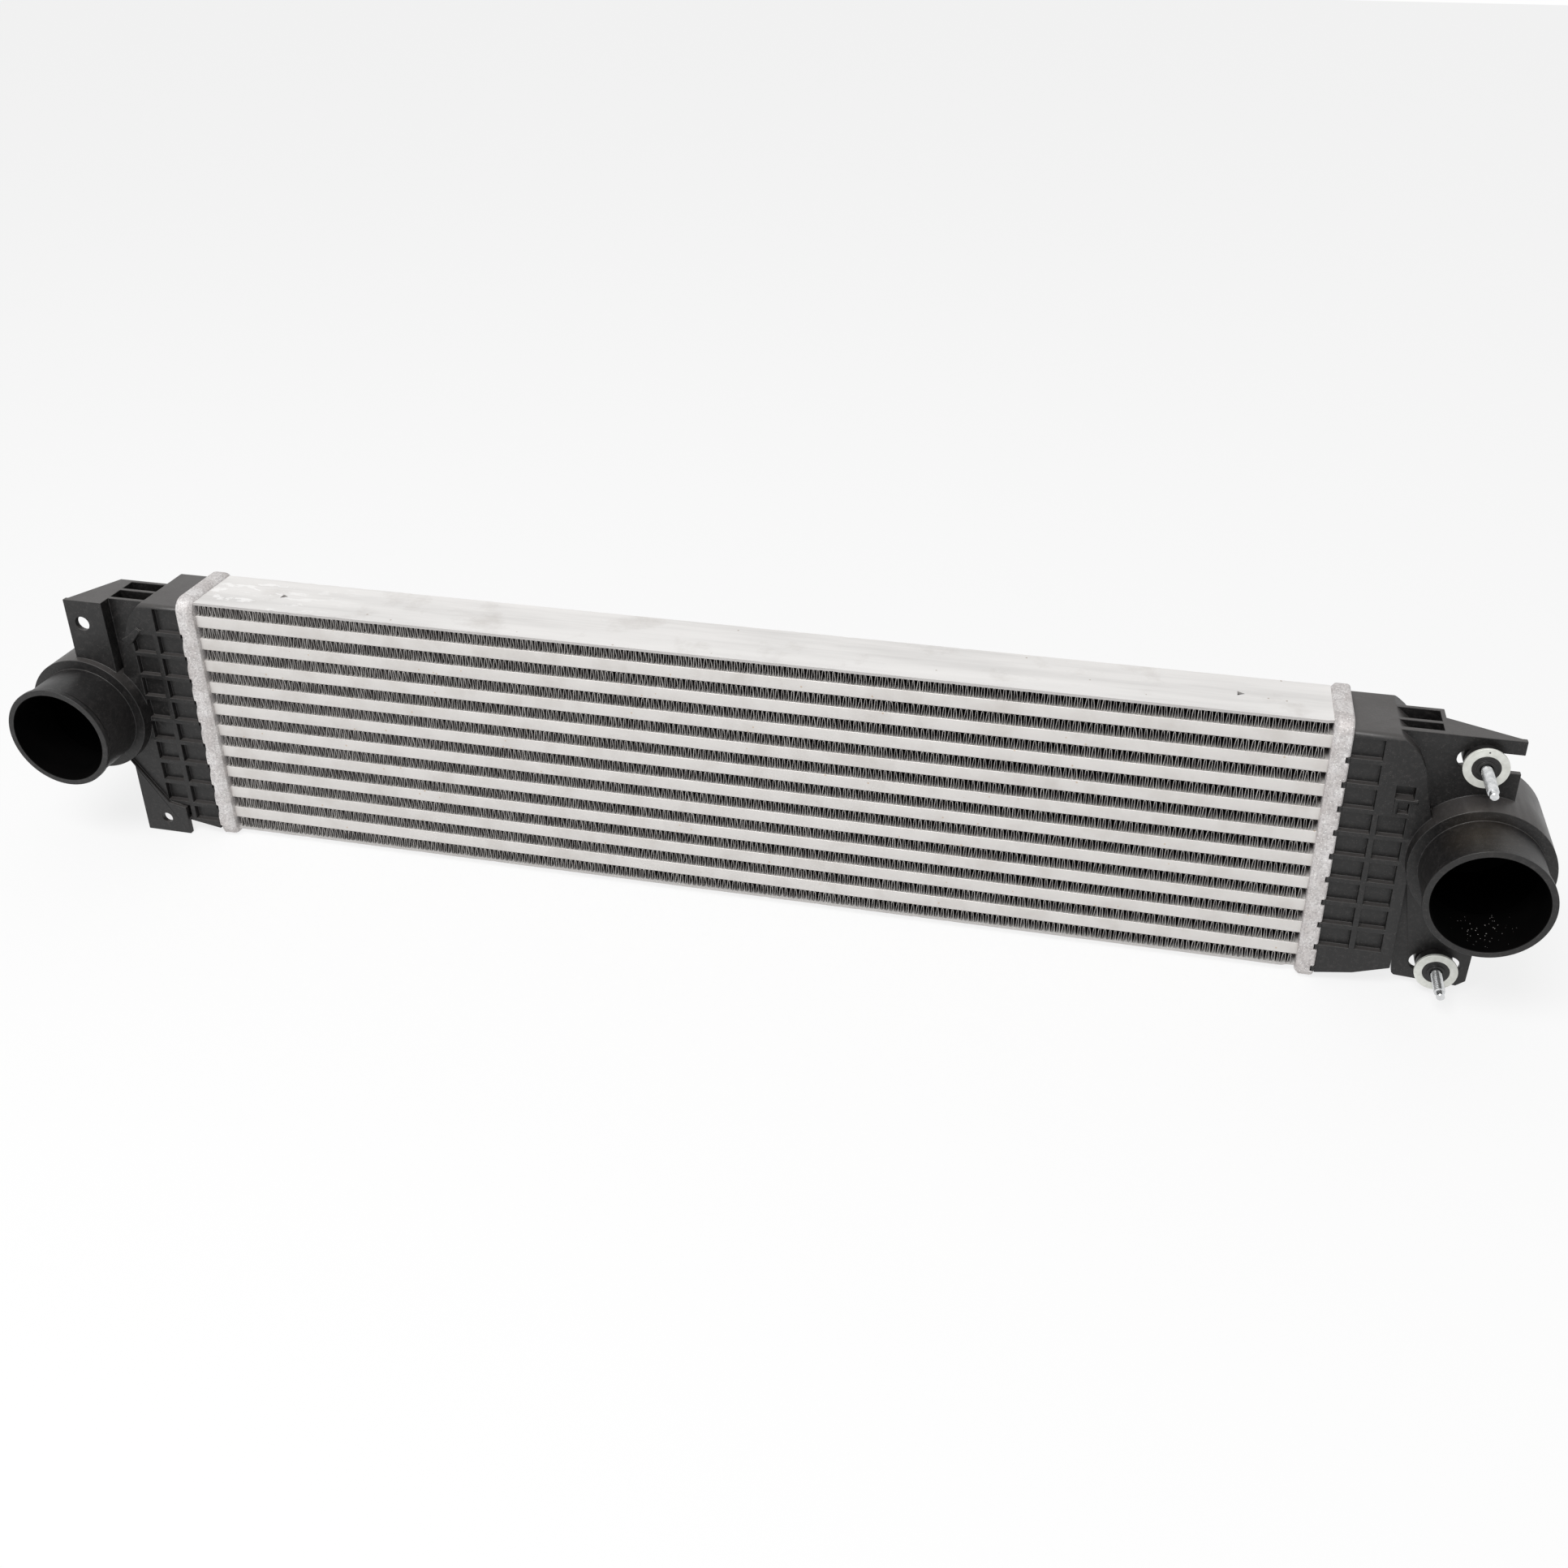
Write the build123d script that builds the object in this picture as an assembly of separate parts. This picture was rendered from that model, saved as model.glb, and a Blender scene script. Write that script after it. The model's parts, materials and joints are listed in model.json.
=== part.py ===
from build123d import *
import os

# An air to air intercooler: a brazed aluminium core of flat tubes and corrugated fins between
# two moulded tanks, each crimped on its header plate over a rubber gasket.
# X runs along the core, Y is the air's way through with the ports at -Y, and Z is up.
# The core is drawn about its own middle. Headers, gaskets, tanks and mounts are drawn for the
# right end with X counted from the header's open edge, and are then moved out to that edge.
# Heights in a tank are counted down from its top as a drop, or up from its bottom as a rise.

# Core
core_length = 622.0
core_depth = 38.0
tube_count = 10
tube_height = 7.6
tube_wall = 0.8
tube_corner = 1.4
tube_reach = 3.4
fin_height = 6.6
fin_sheet = 0.45
fin_leg_count = 28
fin_end_gap = 1.5
turbulator_sheet = 0.4
turbulator_leg_count = 6
turbulator_side_gap = 1.2
turbulator_end_gap = 6.0

# Side plates that close the stack above and below
side_plate_sheet = 1.5
punch_offset = 265.5
punch_radius = 2.5

# Header plates: pressed pans with a slot for each tube and crimp tabs along the edge
header_sheet = 1.5
header_margin = 5.0
header_side_margin = 4.5
header_drop = 1.0
header_corner = 8.0
header_edge_bevel = 2.2
header_width = 9.6
lip_sheet = 1.1
lip_reach = 2.2
lip_gap = 0.1
lip_clearance = 0.4
crimp_bevel = 0.9
notch_height = 3.6
notch_depth = 2.1
tooth_gap = 0.4
left_tab_rake = 1.6

# Gaskets lie between the header's floor and the foot of the tank
gasket_sheet = 2.4
gasket_width = 2.5

# Tanks: what both mouldings share
tank_wall = 2.8
tank_inset = 1.0
tank_margin = 5.3
foot_gap = 0.1
foot_width = 2.5
foot_step = 2.0
pocket_depth = 3.1
rib_pitch = 14.35
rib_width = 2.8
column_rib_inner = 15.3
column_rib_outer = 18.3
outer_rim = 31.6
deep_floor_wall = 1.4
tank_edge_round = 3.0
bracket_root = 22.4
plate_sheet = 3.0
web_sheet = 2.4
bar_drop = 33.0

# Ports: round spigots for a 60 mm hose, on a pot at the end of each tank
port_reach = 58.0
port_radius = 30.0
port_wall = 2.5
bead_height = 1.0
bead_width = 3.0
collar_width = 5.5
collar_front = 29.6
pot_back = 21.0
pot_back_bevel = 3.5

# Left tank: its edge as places of X and a rise or a drop, from the foot up to the top
left_foot_edge = [(22.4, 4.0), (32.4, 14.5), (50.4, 43.0)]
left_shoulder = [(44.4, 53.0), (37.4, 23.0), (31.4, 9.0), (23.4, 0.0)]
left_hook = [(38.2, 23.1), (33.2, 20.5), (27.5, 15.0), (24.9, 16.7), (31.7, 24.9), (34.1, 26.7)]
hook_proud = 1.2
left_port_x = 66.6
left_port_z = 0.3
left_rib_drop = 18.0
left_floor_rise = 5.1
left_first_outer_row = 1
left_pocket_top_drop = 2.2
left_web_front = 18.5
left_plate_front = 25.6
left_plate_inner = 44.9
left_plate_outer = 69.0
left_plate_drop = 47.0
left_plate_back = 6.4
left_plate_slant = 12.0
left_gusset_back = 8.5
left_hole_x = 59.8
left_hole_drop = 14.5
left_hole_radius = 4.3
left_foot_plate_front = 24.5
left_foot_plate = [(19.9, 18.3), (30.4, 20.8), (51.4, 50.3), (48.1, 44.3), (48.1, 0.0), (19.9, 0.0)]
left_foot_hole_x = 33.9
left_foot_hole_rise = 4.2
left_foot_hole_radius = 3.3

# Right tank
right_foot_edge = [(19.4, 3.0), (37.7, 9.0), (37.7, 65.0)]
right_shoulder = [(45.4, 53.0), (40.4, 34.0), (36.4, 17.0), (32.7, 9.7), (28.5, 5.0), (22.4, 0.0)]
recess_start = 24.3
recess_end = 33.4
recess_drop = 28.0
recess_height = 7.0
hook_bar_height = 2.0
hook_bar_end = 35.4
hook_leg_width = 2.0
hook_leg_height = 6.6
throat_start = 24.0
throat_back = 18.0
throat_half_height = 24.0
right_port_x = 70.0
right_port_z = 5.3
right_rib_drop = 16.2
right_floor_rise = 18.3
right_first_outer_row = 3
right_pocket_top_drop = 3.4
right_plate_front = 14.8
right_plate_inner = 43.4
right_plate_outer = 81.8
right_plate_drop = 43.0
right_plate_back = 10.9
right_foot_plate = [(36.7, 63.0), (36.7, 9.0), (39.2, 9.0), (40.3, 0.6), (41.6, -0.6), (73.4, -2.6),
                    (77.9, 1.0), (79.4, 55.0)]
upper_stud_x = 63.6
upper_stud_drop = 13.1
lower_stud_x = 60.7
lower_stud_rise = 10.0
slot_height = 10.6
slot_length = 25.6

# Rubber mounts on the right tank
stud_radius = 2.9
shank_radius = 2.6
stud_tip_radius = 2.1
stud_tip_length = 4.0
stud_reach = 26.0
lower_stud_set_back = 5.5
stud_gap = 0.2
nose_gap = 0.05
nose_ring_radius = 4.7
nose_ring_height = 1.0
washer_bore = 6.9
washer_width = 4.1
washer_sheet = 1.5
grommet_lip = 4.3
grommet_flange = 6.0
hex_across_flats = 10.0
hex_height = 5.0

# Values that follow
core_half = core_length / 2
tube_pitch = tube_height + fin_height
stack_height = tube_count * tube_pitch + fin_height
stack_top = stack_height / 2
header_height = stack_height + 2 * header_margin
header_depth = core_depth + 2 * header_side_margin
header_edge_x = core_half + header_width
header_bottom = -header_height / 2 - header_drop
header_start = -header_width
header_floor = header_start + header_sheet
lip_start = -lip_sheet
foot_start = header_floor + gasket_sheet
half_depth_in_header = header_depth / 2 - header_sheet
half_height_in_header = header_height / 2 - header_sheet
tank_half_depth = header_depth / 2 - tank_inset
neck_half_depth = half_depth_in_header - lip_reach - lip_clearance

# Inside corners are bevelled as far as a round of the header's own corner would cut them
bevel_share = 2 - 2 ** 0.5
well_bevel = bevel_share * (header_corner - header_sheet)
lip_bevel = bevel_share * (header_corner - header_sheet - lip_reach)
gasket_bevel = bevel_share * (header_corner - header_sheet - gasket_width)
mouth_bevel = bevel_share * tank_wall

# Heights and depths of the tanks
tank_top = header_height / 2 - header_drop - tank_margin
tank_bottom = header_bottom + tank_margin
tank_middle = (tank_top + tank_bottom) / 2
pocket_floor = tank_half_depth - pocket_depth
cavity_half_depth = pocket_floor - tank_wall
body_start = lip_gap
left_rib_z = tank_top - left_rib_drop
right_rib_z = tank_top - right_rib_drop
port_bore = port_radius - port_wall
bead_radius = port_radius + bead_height
collar_radius = port_radius + collar_width
washer_radius = washer_bore + washer_width
grommet_bore = stud_radius + stud_gap
grommet_radius = slot_height / 2 + grommet_lip
mount_front = right_plate_front + grommet_flange
mount_back = right_plate_front - plate_sheet - grommet_flange
x_shift = (left_port_x - right_port_x) / 2
y_shift = (port_reach - header_depth / 2) / 2


def settle(shape):
    """Sets a piece down on Z = 0 with the whole part's box centred on the Z axis."""
    return Pos(x_shift, y_shift, -header_bottom) * shape


def at_right(shape):
    """A piece drawn from the header's open edge, moved to the right end of the core."""
    return Pos(header_edge_x, 0, 0) * shape


def at_left(shape):
    """The same on the left end, turned over so that it faces out."""
    return mirror(at_right(shape), about=Plane.YZ)


def bar(x0, x1, y0, y1, z0, z1):
    """A block between two corners."""
    return Pos((x0 + x1) / 2, (y0 + y1) / 2, (z0 + z1) / 2) * Box(x1 - x0, y1 - y0, z1 - z0)


def rounded_bar(x0, x1, depth, height, corner):
    """A bar along X with a rounded rectangular section."""
    section = Plane.YZ.offset(x0) * RectangleRounded(depth, height, corner)
    return extrude(section, x1 - x0)


def bevelled_bar(x0, x1, depth, height, bevel):
    """A bar along X with a rectangular section whose four long edges are bevelled."""
    y = depth / 2
    z = height / 2
    points = [(y, z - bevel), (y - bevel, z), (bevel - y, z), (-y, z - bevel),
              (-y, bevel - z), (bevel - y, -z), (y - bevel, -z), (y, bevel - z)]
    section = make_face(Polyline(*points, close=True))
    return extrude(Plane.YZ.offset(x0) * section, x1 - x0)


def front_plate(points, front, sheet):
    """A flat plate of the given outline in X and Z, with its face at Y = -front."""
    face = make_face(Polyline(*points, close=True))
    return extrude(Plane.XZ.offset(front) * face, -sheet)


def rod(x, z, radius, front, back):
    """A round bar along Y from Y = -front to Y = -back."""
    return extrude(Plane.XZ.offset(front) * Pos(x, z) * Circle(radius), back - front)


# Core pieces

def fin_z(row):
    return stack_top - fin_height / 2 - row * tube_pitch


def tube_z(row):
    return stack_top - fin_height - tube_height / 2 - row * tube_pitch


def zigzag(length, height, sheet, legs):
    """The closed outline of a folded strip whose crests touch both sides."""
    step = length / legs
    rise = sheet * (1 + (height / step) ** 2) ** 0.5
    top = []
    bottom = []
    for i in range(legs + 1):
        at = -length / 2 + i * step
        crest = i % 2 == 0
        top.append((at, height / 2 if crest else -height / 2 + rise))
        bottom.append((at, height / 2 - rise if crest else -height / 2))
    return make_face(Polyline(*top, *reversed(bottom), close=True))


def flat_tube():
    half = core_half + tube_reach
    outer = bevelled_bar(-half, half, core_depth, tube_height, tube_corner)
    inner = bevelled_bar(-half, half, core_depth - 2 * tube_wall, tube_height - 2 * tube_wall,
                         tube_corner - tube_wall / 2)
    return outer - inner


def fin_row():
    wave = zigzag(core_length - 2 * fin_end_gap, fin_height, fin_sheet, fin_leg_count)
    return extrude(Plane.XZ * wave, core_depth / 2, both=True)


def turbulator():
    """A folded strip inside a tube that stirs the air passing through it."""
    wave = zigzag(core_depth - 2 * tube_wall - 2 * turbulator_side_gap,
                  tube_height - 2 * tube_wall, turbulator_sheet, turbulator_leg_count)
    half = core_half + tube_reach - turbulator_end_gap
    return extrude(Plane.YZ * wave, half, both=True)


def side_plate():
    """A flat strip with two small three-cornered punched holes."""
    plate = extrude(Rectangle(core_length, core_depth), side_plate_sheet)
    for x in (-punch_offset, punch_offset):
        plate -= extrude(Pos(x, 0) * RegularPolygon(punch_radius, 3), side_plate_sheet)
    return plate


# Headers and gaskets

def notch_heights(rib_z):
    """The heights where the crimp tabs part, which are the heights of the tank's ribs."""
    count = int((rib_z - header_bottom - header_corner / 2) / rib_pitch) + 1
    return [rib_z - row * rib_pitch for row in range(count)]


def square_notch(z):
    low = z - notch_height / 2
    high = z + notch_height / 2
    return [(-notch_depth, low), (-notch_depth, high), (0, high), (0, low)]


def raked_notch(z):
    """A sawtooth between two tabs, deepest at its top corner."""
    low = z - rib_pitch / 2
    high = z + notch_height / 2
    return [(-left_tab_rake, z - notch_height / 2), (-left_tab_rake, high), (0, high), (0, low)]


def header(notches):
    """A pan whose floor takes the tube ends and whose wall is crimped over the tank's foot."""
    pan = rounded_bar(header_start, 0, header_depth, header_height, header_corner)
    floor_edges = pan.edges().filter_by_position(Axis.X, header_start - 0.01, header_start + 0.01)
    pan = chamfer(floor_edges, header_edge_bevel)
    open_edges = pan.edges().filter_by_position(Axis.X, -0.01, 0.01)
    pan = chamfer(open_edges, crimp_bevel)
    pan -= bevelled_bar(header_floor, lip_start, 2 * half_depth_in_header,
                        2 * half_height_in_header, well_bevel)
    pan -= bevelled_bar(lip_start, 0, 2 * (half_depth_in_header - lip_reach),
                        2 * (half_height_in_header - lip_reach), lip_bevel)
    pan = Pos(0, 0, -header_drop) * pan
    for row in range(tube_count):
        slot = bevelled_bar(header_start, header_floor, core_depth, tube_height, tube_corner)
        pan -= Pos(0, 0, tube_z(row)) * slot
    for points in notches:
        pan -= front_plate(points, header_depth / 2, header_depth / 2 - pocket_floor)
        pan -= front_plate(points, -pocket_floor, header_depth / 2 - pocket_floor)
    return pan


def gasket():
    """A flat rubber ring under the tank's foot."""
    outer = bevelled_bar(header_floor, foot_start, 2 * half_depth_in_header,
                         2 * half_height_in_header, well_bevel)
    inner = bevelled_bar(header_floor, foot_start, 2 * (half_depth_in_header - gasket_width),
                         2 * (half_height_in_header - gasket_width), gasket_bevel)
    return Pos(0, 0, -header_drop) * (outer - inner)


# Tanks

def foot_and_neck():
    """The flange that the header is crimped over, and the wall that rises from it."""
    foot = bevelled_bar(foot_start, lip_start, 2 * (half_depth_in_header - foot_gap),
                        2 * (half_height_in_header - foot_gap), well_bevel)
    neck = bevelled_bar(lip_start, body_start, 2 * neck_half_depth, tank_top - tank_bottom, lip_bevel)
    return Pos(0, 0, tank_middle) * (foot + neck)


def teeth(heights):
    """Rib ends that show in the notches between the crimp tabs, front and back."""
    outside = header_depth / 2 - tooth_gap
    half = notch_height / 2 - tooth_gap
    start = tooth_gap - notch_depth
    pieces = []
    for z in heights:
        pieces.append(bar(start, body_start, -outside, -pocket_floor, z - half, z + half))
        pieces.append(bar(start, body_start, pocket_floor, outside, z - half, z + half))
    return pieces


def flow_body(outline):
    """A prism of the tank's side view with its top edges rounded."""
    body = front_plate(outline, tank_half_depth, 2 * tank_half_depth)
    long_edges = body.edges().filter_by(Axis.X)
    top_edges = long_edges.filter_by_position(Axis.Z, tank_top - 0.01, tank_top + 0.01)
    return fillet(top_edges, tank_edge_round)


def pockets(rib_z, floor, top, first_outer_row):
    """The square pockets of both columns between the ribs, front and back, as cutting tools."""
    rows = int((rib_z - rib_width - floor) / rib_pitch) + 2
    tools = []
    for row in range(rows):
        high = rib_z - (row - 1) * rib_pitch - rib_width / 2 if row else top
        low = max(rib_z - row * rib_pitch + rib_width / 2, floor)
        columns = [(body_start, column_rib_inner)]
        if row >= first_outer_row:
            columns.append((column_rib_outer, outer_rim))
        for x0, x1 in columns:
            tools.append(bar(x0, x1, -tank_half_depth, -pocket_floor, low, high))
            tools.append(bar(x0, x1, pocket_floor, tank_half_depth, low, high))
    return tools


def pot(x, z):
    """The closed pot behind the port, with the collar and the spigot in front."""
    neck_end = port_reach - bead_width
    outline = Polyline((0, -pot_back), (0, port_reach), (bead_radius, port_reach),
                       (bead_radius, neck_end), (port_radius, neck_end - bead_height),
                       (port_radius, collar_front), (collar_radius, collar_front),
                       (collar_radius, pot_back_bevel - pot_back),
                       (collar_radius - pot_back_bevel, -pot_back), close=True)
    return Pos(x, 0, z) * mirror(revolve(make_face(outline), Axis.Y), about=Plane.XZ)


def pot_space(x, z):
    """The air space in the pot and the bore of the spigot."""
    inner = collar_radius - tank_wall
    back = pot_back - tank_wall
    outline = Polyline((0, -back), (0, port_reach), (port_bore, port_reach),
                       (port_bore, collar_front - tank_wall), (inner, collar_front - tank_wall),
                       (inner, -back), close=True)
    return Pos(x, 0, z) * mirror(revolve(make_face(outline), Axis.Y), about=Plane.XZ)


def air_space(outline, port_x, port_z):
    """The air's way from the header's mouth to the port."""
    inside = offset(make_face(Polyline(*outline, close=True)), -tank_wall, kind=Kind.INTERSECTION)
    duct = extrude(Plane.XZ.offset(cavity_half_depth) * inside, -2 * cavity_half_depth)
    foot_inset = foot_gap + foot_width
    step = bevelled_bar(foot_start, foot_start + foot_step, 2 * (half_depth_in_header - foot_inset),
                        2 * (half_height_in_header - foot_inset), gasket_bevel)
    mouth = bevelled_bar(foot_start, body_start + 2 * tank_wall, 2 * cavity_half_depth,
                         tank_top - tank_bottom - 2 * tank_wall, mouth_bevel)
    return duct + Pos(0, 0, tank_middle) * (step + mouth) + pot_space(port_x, port_z)


def throat(inset):
    """The level passage from the right duct to the pot behind the port, less an inset all round."""
    half_height = throat_half_height - inset
    return bar(throat_start + 2 * inset, right_port_x, inset - right_plate_front, throat_back - inset,
               right_port_z - half_height, right_port_z + half_height)


def edge_points(foot_edge, shoulder):
    """The outline of a tank's side view from its foot edge and its shoulder."""
    low = [(x, tank_bottom + rise) for x, rise in foot_edge]
    high = [(x, tank_top - drop) for x, drop in shoulder]
    return [(body_start, tank_bottom)] + low + high + [(body_start, tank_top)]


def top_bars(x1, places):
    """Upright bars between the body and the bracket, with open slots between them."""
    return [bar(bracket_root, x1, y, y + web_sheet, tank_top - bar_drop, tank_top) for y in places]


def left_tank():
    outline = edge_points(left_foot_edge, left_shoulder)
    body = flow_body(outline)
    for tool in pockets(left_rib_z, tank_bottom + left_floor_rise, tank_top - left_pocket_top_drop,
                        left_first_outer_row):
        body -= tool
    hook = [(x, tank_top - drop) for x, drop in left_hook]
    body += front_plate(hook, tank_half_depth + hook_proud, hook_proud + pocket_depth)
    body += foot_and_neck()
    body += pot(left_port_x, left_port_z)
    plate_bottom = tank_top - left_plate_drop
    web = [(bracket_root, tank_top), (left_plate_inner, tank_top), (left_plate_inner, plate_bottom),
           (31.4, plate_bottom)]
    body += front_plate(web, left_web_front, web_sheet)
    for piece in top_bars(left_plate_inner, (-7.0, 4.0)):
        body += piece
    body += bar(left_plate_inner, left_plate_inner + web_sheet, -left_plate_front, left_plate_back,
                plate_bottom, tank_top)
    plate = [(left_plate_inner, tank_top), (left_plate_outer, tank_top),
             (left_plate_outer, plate_bottom), (left_plate_inner, plate_bottom - left_plate_slant)]
    body += front_plate(plate, left_plate_front, plate_sheet)
    gusset = [(left_plate_inner, -left_plate_front), (left_plate_outer, -left_plate_front),
              (left_plate_inner + left_gusset_back, left_plate_back),
              (left_plate_inner, left_plate_back)]
    body += extrude(Pos(0, 0, tank_top) * make_face(Polyline(*gusset, close=True)), -web_sheet)
    foot_plate = [(x, header_bottom + rise) for x, rise in left_foot_plate]
    body += front_plate(foot_plate, left_foot_plate_front, plate_sheet)
    body -= air_space(outline, left_port_x, left_port_z)
    body -= rod(left_hole_x, tank_top - left_hole_drop, left_hole_radius, left_plate_front, 0)
    body -= rod(left_foot_hole_x, tank_bottom + left_foot_hole_rise, left_foot_hole_radius,
                left_foot_plate_front, 0)
    return body


def closed_slot(x, z):
    """A level slot with round ends about a stud's place."""
    face = Pos(x, z) * RectangleRounded(slot_length, slot_height, slot_height / 2 - 0.1)
    return extrude(Plane.XZ.offset(right_plate_front) * face, -plate_sheet)


def right_tank():
    outline = edge_points(right_foot_edge, right_shoulder)
    body = flow_body(outline)
    for tool in pockets(right_rib_z, tank_bottom + right_floor_rise, tank_top - right_pocket_top_drop,
                        right_first_outer_row):
        body -= tool
    recess_top = tank_top - recess_drop
    bar_top = recess_top - recess_height
    bar_bottom = bar_top - hook_bar_height
    deep_floor = cavity_half_depth + deep_floor_wall
    front = tank_half_depth + hook_proud
    body -= bar(recess_start, recess_end, -tank_half_depth, -deep_floor, bar_top, recess_top)
    body -= bar(recess_start + hook_leg_width, outer_rim, -tank_half_depth, -pocket_floor,
                bar_bottom - hook_leg_height, bar_bottom)
    body += bar(recess_start, hook_bar_end, -front, -pocket_floor, bar_bottom, bar_top)
    body += bar(recess_start, recess_start + hook_leg_width, -front, -pocket_floor,
                bar_bottom - hook_leg_height, bar_bottom)
    body += foot_and_neck()
    for tooth in teeth(notch_heights(right_rib_z)):
        body += tooth
    body += pot(right_port_x, right_port_z)
    body += throat(0)
    plate_bottom = tank_top - right_plate_drop
    plate = [(bracket_root, tank_top), (right_plate_outer, tank_top),
             (right_plate_outer, plate_bottom), (31.4, plate_bottom)]
    body += front_plate(plate, right_plate_front, plate_sheet)
    for piece in top_bars(right_plate_inner, (-4.5, 8.5)):
        body += piece
    body += bar(right_plate_inner, right_plate_inner + web_sheet, -right_plate_front,
                right_plate_back, plate_bottom, tank_top)
    gusset = [(right_plate_inner, -right_plate_front), (right_plate_outer, -right_plate_front),
              (right_plate_outer, 2 - right_plate_front), (right_plate_inner, 3)]
    body += extrude(Pos(0, 0, tank_top) * make_face(Polyline(*gusset, close=True)), -web_sheet)
    foot_plate = [(x, tank_bottom + rise) for x, rise in right_foot_plate]
    body += front_plate(foot_plate, right_plate_front, plate_sheet)
    body -= air_space(outline, right_port_x, right_port_z)
    body -= throat(tank_wall)
    upper_z = tank_top - upper_stud_drop
    body -= closed_slot(upper_stud_x, upper_z)
    body -= bar(upper_stud_x, right_plate_outer, -right_plate_front, plate_sheet - right_plate_front,
                upper_z - slot_height / 2, upper_z + slot_height / 2)
    body -= closed_slot(lower_stud_x, tank_bottom + lower_stud_rise)
    return body


# Rubber mounts

def grommet(x, z):
    """A rubber bush with a flange on each side of the bracket and a nose that fills the washer."""
    plate_back = right_plate_front - plate_sheet
    nose_front = mount_front + washer_sheet
    ring_front = nose_front + nose_ring_height
    bush = rod(x, z, slot_height / 2, right_plate_front, plate_back)
    bush += rod(x, z, grommet_radius, mount_front, right_plate_front)
    bush += rod(x, z, grommet_radius, plate_back, mount_back)
    bush += rod(x, z, washer_bore - nose_gap, nose_front, mount_front)
    bush += rod(x, z, nose_ring_radius, ring_front, nose_front)
    return bush - rod(x, z, grommet_bore, ring_front, mount_back)


def washer(x, z):
    front = mount_front + washer_sheet
    return rod(x, z, washer_radius, front, mount_front) - rod(x, z, washer_bore, front, mount_front)


def stud(x, z, set_back):
    """A 6 mm hexagon bolt with a plain shank in the mount and a dog point in front."""
    thread_start = mount_front + washer_sheet + nose_ring_height
    front = mount_front + washer_sheet + stud_reach - set_back
    thread_end = front - stud_tip_length
    seat = mount_back - set_back
    bolt = rod(x, z, shank_radius, thread_start, seat)
    bolt += rod(x, z, stud_radius, thread_end, thread_start)
    bolt += rod(x, z, stud_tip_radius, front, thread_end)
    hexagon = Pos(x, z) * RegularPolygon(hex_across_flats / 2, 6, major_radius=False)
    return bolt + extrude(Plane.XZ.offset(seat) * hexagon, -hex_height)


def pair(make):
    """The upper and the lower one of a mount's pieces."""
    upper = make(upper_stud_x, tank_top - upper_stud_drop)
    lower = make(lower_stud_x, tank_bottom + lower_stud_rise)
    return [at_right(upper), at_right(lower)]


def studs():
    upper = stud(upper_stud_x, tank_top - upper_stud_drop, 0)
    lower = stud(lower_stud_x, tank_bottom + lower_stud_rise, lower_stud_set_back)
    return [at_right(upper), at_right(lower)]


def main():
    os.makedirs("parts", exist_ok=True)
    nodes = {}
    for row in range(tube_count):
        number = str(row + 1).zfill(2)
        nodes["tube_" + number] = Pos(0, 0, tube_z(row)) * flat_tube()
        nodes["turbulator_" + number] = Pos(0, 0, tube_z(row)) * turbulator()
    for row in range(tube_count + 1):
        nodes["fin_row_" + str(row + 1).zfill(2)] = Pos(0, 0, fin_z(row)) * fin_row()
    nodes["top_side_plate"] = Pos(0, 0, stack_top) * side_plate()
    nodes["bottom_side_plate"] = Pos(0, 0, -stack_top - side_plate_sheet) * side_plate()
    left_notches = [raked_notch(z) for z in notch_heights(left_rib_z)]
    right_notches = [square_notch(z) for z in notch_heights(right_rib_z)]
    nodes["left_header"] = at_left(header(left_notches))
    nodes["right_header"] = at_right(header(right_notches))
    nodes["left_gasket"] = at_left(gasket())
    nodes["right_gasket"] = at_right(gasket())
    nodes["left_tank"] = at_left(left_tank())
    nodes["right_tank"] = at_right(right_tank())
    for name, shape in nodes.items():
        export_step(settle(shape), "parts/" + name + ".step")
    groups = {"mount_grommets": pair(grommet), "mount_washers": pair(washer),
              "mounting_studs": studs()}
    for name, pieces in groups.items():
        group = Compound(children=[settle(piece) for piece in pieces])
        export_step(group, "parts/" + name + ".step")


if __name__ == "__main__":
    main()
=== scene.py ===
import json
import math

import bmesh
import bpy
from mathutils import Matrix, Vector, noise

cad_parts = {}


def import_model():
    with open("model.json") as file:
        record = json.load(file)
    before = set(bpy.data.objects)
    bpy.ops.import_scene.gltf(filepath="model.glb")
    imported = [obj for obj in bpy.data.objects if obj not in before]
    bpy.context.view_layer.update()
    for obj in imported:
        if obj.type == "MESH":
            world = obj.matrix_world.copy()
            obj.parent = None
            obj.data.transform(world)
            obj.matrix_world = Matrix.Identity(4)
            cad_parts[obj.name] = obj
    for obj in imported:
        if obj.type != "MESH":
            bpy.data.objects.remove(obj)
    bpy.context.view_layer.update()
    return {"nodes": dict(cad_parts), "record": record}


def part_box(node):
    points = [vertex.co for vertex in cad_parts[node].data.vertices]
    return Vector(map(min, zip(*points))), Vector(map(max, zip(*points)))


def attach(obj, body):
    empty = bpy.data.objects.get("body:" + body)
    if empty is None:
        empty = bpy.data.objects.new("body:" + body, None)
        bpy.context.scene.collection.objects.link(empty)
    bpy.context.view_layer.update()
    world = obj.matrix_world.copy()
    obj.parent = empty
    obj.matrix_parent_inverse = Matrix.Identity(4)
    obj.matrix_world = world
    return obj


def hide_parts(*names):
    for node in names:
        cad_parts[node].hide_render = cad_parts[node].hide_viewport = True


bl_info = {
    "name": "Intercooler",
    "version": (1, 1, 0),
    "blender": (4, 5, 0),
    "location": "View3D > Sidebar > Intercooler",
    "description": "Dresses an air to air intercooler: fins, tubes, plates, tanks, mounts, stage",
    "category": "Object",
}

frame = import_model()

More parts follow.
